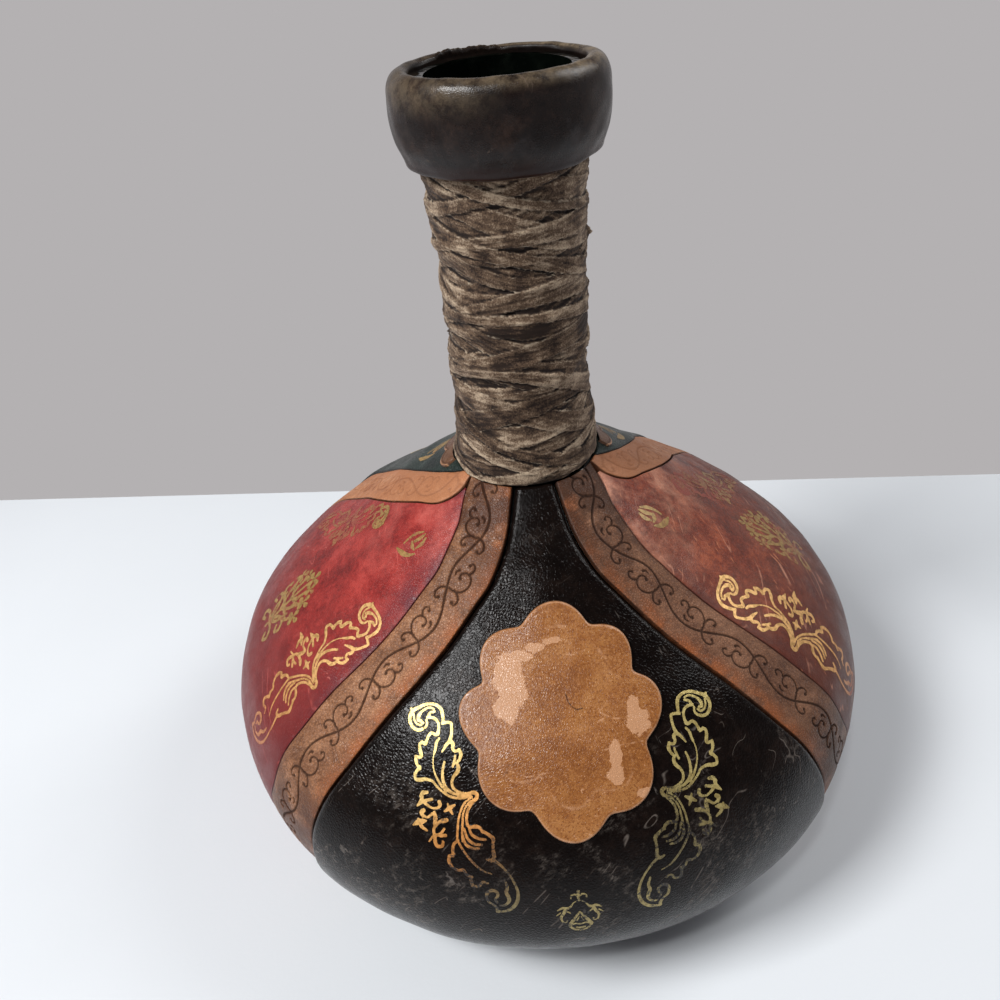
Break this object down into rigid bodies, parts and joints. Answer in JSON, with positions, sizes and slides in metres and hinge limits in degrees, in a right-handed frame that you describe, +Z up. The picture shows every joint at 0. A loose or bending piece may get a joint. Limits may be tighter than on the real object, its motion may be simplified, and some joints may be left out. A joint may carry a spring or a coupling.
{
  "type": "leather-covered bottle",
  "caption": "Squat long-necked glass bottle under tooled leather panels and bands, with a strip-wound neck and a moulded leather collar at the mouth.",
  "frame": {"origin": "centre of the base, on the surface that the bottle stands on", "axes": "+Z up along the neck's axis, -Y towards the front panel, +X to the bottle's right as seen from the front"},
  "size_m": [0.2, 0.2024, 0.2215],
  "materials": {
    "green_glass": "dark green, glossy",
    "base_leather": "dark brown, worn",
    "sleeve_leather": "dark brown, smooth",
    "strip_suede": "thin crumpled taupe suede, matte",
    "collar_leather": "moulded, dark brown, semi-gloss, khaki wear at the rim",
    "packing_leather": "raw, matte",
    "black_leather": "pebbled black-brown, semi-gloss, gold-stamped scrolls",
    "teal_leather": "pebbled dark teal, semi-gloss, gold-stamped scrolls",
    "red_leather": "raspberry red, satin, gold-stamped scrolls",
    "rust_leather": "rust red, satin, gold-stamped scrolls",
    "tan_leather": "mottled tan with a tooled vine roll, satin",
    "medallion_leather": "tan, satin, an impressed line inside its edge"
  },
  "bodies": {
    "root": {"glass_bottle": "green_glass", "base_disc": "base_leather", "neck_sleeve": "sleeve_leather", "neck_wrap": "strip_suede", "collar_cover": "collar_leather", "collar_packing": "packing_leather", "front_panel": "black_leather", "back_panel": "teal_leather", "left_panel": "red_leather", "right_panel": "rust_leather", "band_front_left": "tan_leather", "band_front_right": "tan_leather", "band_back_left": "tan_leather", "band_back_right": "tan_leather", "front_medallion": "medallion_leather", "back_medallion": "medallion_leather", "back_neck_tab": "medallion_leather"}
  },
  "joints": []
}
